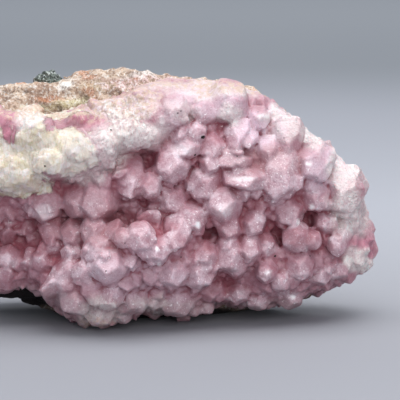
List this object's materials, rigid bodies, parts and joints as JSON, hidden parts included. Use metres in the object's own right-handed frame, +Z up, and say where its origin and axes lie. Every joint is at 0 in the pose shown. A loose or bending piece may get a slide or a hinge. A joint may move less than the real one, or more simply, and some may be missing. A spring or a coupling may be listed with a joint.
{
  "type": "cobaltoan calcite specimen",
  "caption": "Cabinet mineral specimen: blunt pink calcite crystals crowded over massive calcite, with a cream broken ledge, on brown host rock that stands on a flat base.",
  "frame": {"origin": "middle of the specimen's bounding box in X and Y, on the plane that it stands on", "axes": "+X along the specimen to the right as the crystals are faced, +Y from the crystals to the back of the host rock, +Z up"},
  "size_m": [0.1218, 0.0628, 0.0673],
  "materials": {
    "pink_calcite": "satin",
    "brown_host_rock": "matte",
    "green_grey_ore": "satin"
  },
  "bodies": {
    "root": {"calcite_crust": "pink_calcite", "host_rock": "brown_host_rock", "dark_ore_cluster": "green_grey_ore"}
  },
  "joints": []
}
